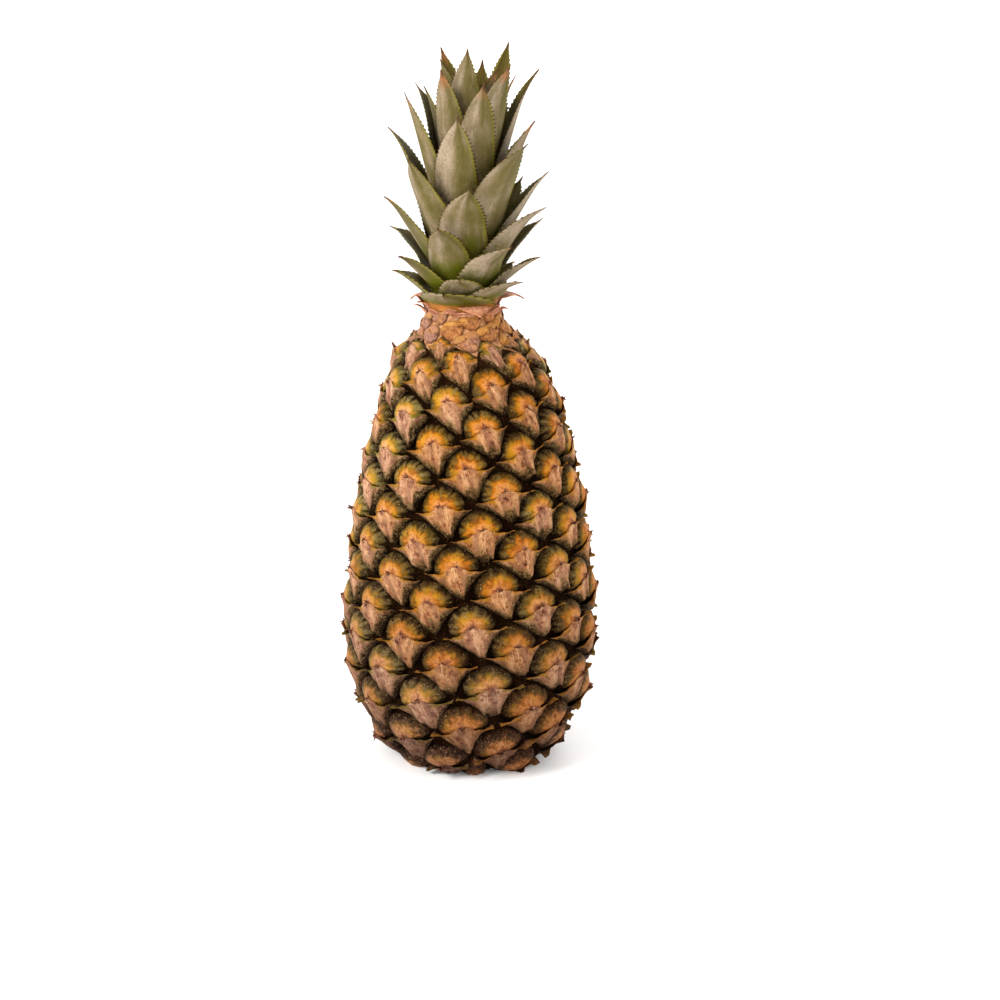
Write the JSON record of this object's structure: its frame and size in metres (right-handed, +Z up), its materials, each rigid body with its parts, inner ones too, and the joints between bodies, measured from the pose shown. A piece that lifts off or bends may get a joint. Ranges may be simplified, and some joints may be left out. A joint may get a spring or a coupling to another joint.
{
  "type": "pineapple",
  "caption": "Whole ripe pineapple standing upright on its cut base, with a rind of domed eyes and dry bracts and a crown of stiff, spiny-edged leaves.",
  "frame": {"origin": "centre of the flat cut base, on the surface that the fruit stands on", "axes": "+Z up along the fruit to the crown, -Y towards the front, +X to the right as seen from the front"},
  "size_m": [0.1096, 0.1091, 0.3015],
  "materials": {
    "rind": "waxy eyes, orange in the middle and dark green at the furrows, under papery tan bracts",
    "dry_bract": "dry, fibrous and matte",
    "crown_leaf": "satin grey-green under a silvery scurf",
    "crown_stem": "matte, fibrous"
  },
  "bodies": {
    "root": {"fruit": "rind", "crown_stem": "crown_stem", "dry_bract_01": "dry_bract", "dry_bract_02": "dry_bract", "dry_bract_03": "dry_bract", "dry_bract_04": "dry_bract", "crown_leaf_05": "crown_leaf", "crown_leaf_06": "crown_leaf", "crown_leaf_07": "crown_leaf", "crown_leaf_08": "crown_leaf", "crown_leaf_09": "crown_leaf", "crown_leaf_10": "crown_leaf", "crown_leaf_11": "crown_leaf", "crown_leaf_12": "crown_leaf", "crown_leaf_13": "crown_leaf", "crown_leaf_14": "crown_leaf", "crown_leaf_15": "crown_leaf", "crown_leaf_16": "crown_leaf", "crown_leaf_17": "crown_leaf", "crown_leaf_18": "crown_leaf", "crown_leaf_19": "crown_leaf", "crown_leaf_20": "crown_leaf", "crown_leaf_21": "crown_leaf", "crown_leaf_22": "crown_leaf", "crown_leaf_23": "crown_leaf", "crown_leaf_24": "crown_leaf", "crown_leaf_25": "crown_leaf", "crown_leaf_26": "crown_leaf", "crown_leaf_27": "crown_leaf", "crown_leaf_28": "crown_leaf", "crown_leaf_29": "crown_leaf", "crown_leaf_30": "crown_leaf", "crown_leaf_31": "crown_leaf", "crown_leaf_32": "crown_leaf", "crown_leaf_33": "crown_leaf", "crown_leaf_34": "crown_leaf", "crown_leaf_35": "crown_leaf", "crown_leaf_36": "crown_leaf", "crown_leaf_37": "crown_leaf", "crown_leaf_38": "crown_leaf", "crown_leaf_39": "crown_leaf", "crown_leaf_40": "crown_leaf", "crown_leaf_41": "crown_leaf", "crown_leaf_42": "crown_leaf", "crown_leaf_43": "crown_leaf", "crown_leaf_44": "crown_leaf", "crown_leaf_45": "crown_leaf", "crown_leaf_46": "crown_leaf", "crown_leaf_47": "crown_leaf", "crown_leaf_48": "crown_leaf", "crown_leaf_49": "crown_leaf", "crown_leaf_50": "crown_leaf", "crown_leaf_51": "crown_leaf", "crown_leaf_52": "crown_leaf", "crown_leaf_53": "crown_leaf", "crown_leaf_54": "crown_leaf"}
  },
  "joints": []
}
